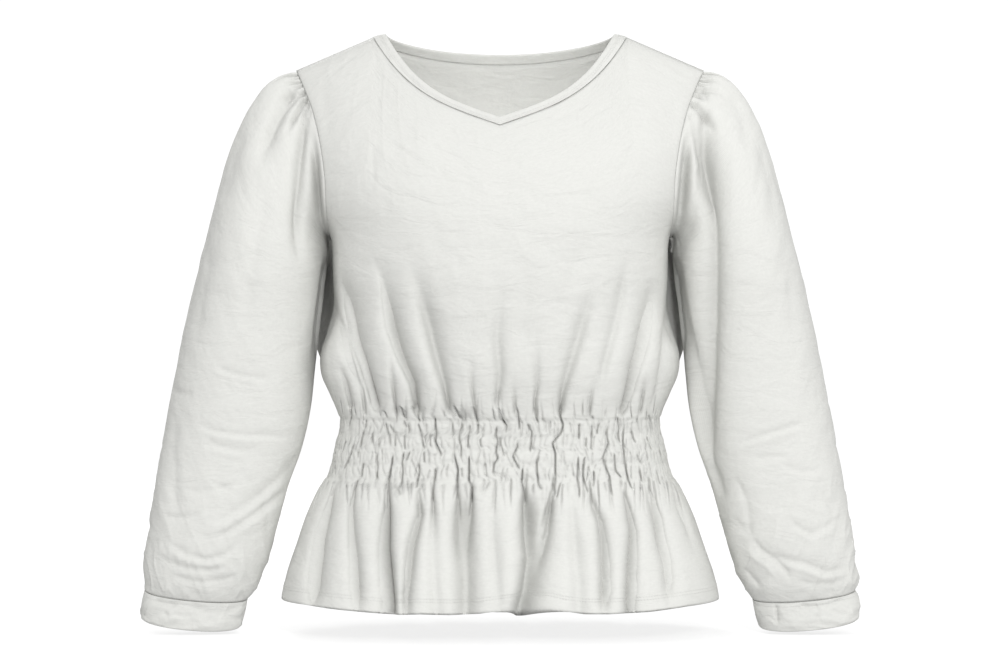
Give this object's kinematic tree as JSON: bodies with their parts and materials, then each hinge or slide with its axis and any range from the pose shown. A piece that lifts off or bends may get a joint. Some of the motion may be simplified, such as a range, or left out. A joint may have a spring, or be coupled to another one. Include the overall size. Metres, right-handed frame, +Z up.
{
  "type": "gathered-waist peplum top",
  "caption": "Light jersey top worn open and hollow: shallow rounded V neck, long gathered sleeves with band cuffs, shirred elastic waist and a flared peplum.",
  "frame": {"origin": "midway between the two high points of the shoulders, at the sides of the neck, where the wearer holds the garment up", "axes": "+Z up along the wearer, -Y out of the front, +X towards the wearer's left sleeve"},
  "size_m": [0.7434, 0.2874, 0.6187],
  "materials": {
    "jersey": "matte fine single jersey, off-white",
    "jersey_band": "matte doubled jersey, off-white"
  },
  "bodies": {
    "root": {"front": "jersey", "back": "jersey", "sleeve_right": "jersey", "sleeve_left": "jersey", "cuff_right": "jersey_band", "cuff_left": "jersey_band", "neckband": "jersey_band"}
  },
  "joints": []
}
